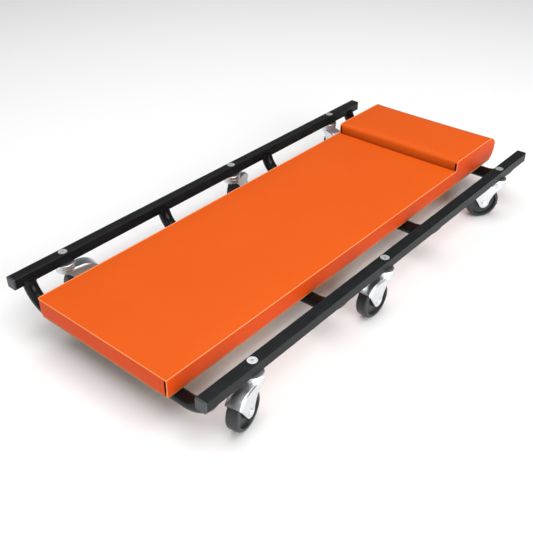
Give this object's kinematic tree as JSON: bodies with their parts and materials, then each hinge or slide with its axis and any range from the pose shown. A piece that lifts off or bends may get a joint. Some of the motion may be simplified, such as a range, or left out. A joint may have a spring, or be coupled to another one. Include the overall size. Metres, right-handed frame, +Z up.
{
  "type": "mechanic's creeper",
  "caption": "Low padded deck and raised headrest on a square-rail and bent-tube steel frame, rolling on swivel castors bolted along both rails.",
  "frame": {"origin": "on the floor, midway between the rails and under the middle of the length", "axes": "+X towards the headrest, +Y to the left, +Z up"},
  "size_m": [0.936, 0.4563, 0.1085],
  "materials": {
    "rail_paint": "satin black powder coat",
    "tube_enamel": "gloss black paint",
    "cap_plastic": "moulded",
    "plywood": "bare sheet",
    "foam": "cut block",
    "vinyl": "smooth upholstery vinyl",
    "zinc": "bright zinc plate",
    "fork_zinc": "bright zinc plate, pressed sheet",
    "bearing_chrome": "polished",
    "ball_steel": "polished",
    "wheel_plastic": "moulded"
  },
  "bodies": {
    "frame": {"right_rail": "rail_paint", "left_rail": "rail_paint", "rail_end_caps": "cap_plastic", "cross_tube_1": "tube_enamel", "cross_tube_2": "tube_enamel", "cross_tube_3": "tube_enamel", "cross_tube_4": "tube_enamel", "pad_board": "plywood", "pad_foam": "foam", "headrest_foam": "foam", "pad_cover": "vinyl", "headrest_cover": "vinyl", "board_screws": "zinc", "king_bolts": "zinc", "king_nuts": "zinc", "race_plates": "bearing_chrome"},
    "swivel_1": {"fork_1": "fork_zinc", "ball_ring_1": "ball_steel", "axle_rivet_1": "zinc", "axle_sleeve_1": "zinc"},
    "roller_1": {"wheel_1": "wheel_plastic"},
    "swivel_2": {"fork_2": "fork_zinc", "ball_ring_2": "ball_steel", "axle_rivet_2": "zinc", "axle_sleeve_2": "zinc"},
    "roller_2": {"wheel_2": "wheel_plastic"},
    "swivel_3": {"fork_3": "fork_zinc", "ball_ring_3": "ball_steel", "axle_rivet_3": "zinc", "axle_sleeve_3": "zinc"},
    "roller_3": {"wheel_3": "wheel_plastic"},
    "swivel_4": {"fork_4": "fork_zinc", "ball_ring_4": "ball_steel", "axle_rivet_4": "zinc", "axle_sleeve_4": "zinc"},
    "roller_4": {"wheel_4": "wheel_plastic"},
    "swivel_5": {"fork_5": "fork_zinc", "ball_ring_5": "ball_steel", "axle_rivet_5": "zinc", "axle_sleeve_5": "zinc"},
    "roller_5": {"wheel_5": "wheel_plastic"},
    "swivel_6": {"fork_6": "fork_zinc", "ball_ring_6": "ball_steel", "axle_rivet_6": "zinc", "axle_sleeve_6": "zinc"},
    "roller_6": {"wheel_6": "wheel_plastic"}
  },
  "joints": [
    {"name": "castor_1_swivel", "type": "hinge", "parent": "frame", "child": "swivel_1", "pos_m": [-0.3685, -0.20247, 0.07], "axis": [0, 0, 1], "continuous": true},
    {"name": "castor_1_roll", "type": "hinge", "parent": "swivel_1", "child": "roller_1", "pos_m": [-0.39471, -0.20757, 0.03175], "axis": [0.1908, -0.9816, 0], "continuous": true},
    {"name": "castor_2_swivel", "type": "hinge", "parent": "frame", "child": "swivel_2", "pos_m": [-0.0481, -0.20247, 0.07], "axis": [0, 0, 1], "continuous": true},
    {"name": "castor_2_roll", "type": "hinge", "parent": "swivel_2", "child": "roller_2", "pos_m": [-0.07478, -0.20154, 0.03175], "axis": [-0.0349, -0.9994, 0], "continuous": true},
    {"name": "castor_3_swivel", "type": "hinge", "parent": "frame", "child": "swivel_3", "pos_m": [0.3529, -0.20247, 0.07], "axis": [0, 0, 1], "continuous": true},
    {"name": "castor_3_roll", "type": "hinge", "parent": "swivel_3", "child": "roller_3", "pos_m": [0.33158, -0.18641, 0.03175], "axis": [-0.6018, -0.7986, 0], "continuous": true},
    {"name": "castor_4_swivel", "type": "hinge", "parent": "frame", "child": "swivel_4", "pos_m": [-0.3685, 0.20247, 0.07], "axis": [0, 0, 1], "continuous": true},
    {"name": "castor_4_roll", "type": "hinge", "parent": "swivel_4", "child": "roller_4", "pos_m": [-0.34238, 0.19692, 0.03175], "axis": [0.2079, 0.9781, 0], "continuous": true},
    {"name": "castor_5_swivel", "type": "hinge", "parent": "frame", "child": "swivel_5", "pos_m": [0.0325, 0.20247, 0.07], "axis": [0, 0, 1], "continuous": true},
    {"name": "castor_5_roll", "type": "hinge", "parent": "swivel_5", "child": "roller_5", "pos_m": [0.05789, 0.21073, 0.03175], "axis": [-0.309, 0.9511, 0], "continuous": true},
    {"name": "castor_6_swivel", "type": "hinge", "parent": "frame", "child": "swivel_6", "pos_m": [0.3529, 0.20247, 0.07], "axis": [0, 0, 1], "continuous": true},
    {"name": "castor_6_roll", "type": "hinge", "parent": "swivel_6", "child": "roller_6", "pos_m": [0.34377, 0.17739, 0.03175], "axis": [0.9397, -0.342, 0], "continuous": true}
  ]
}
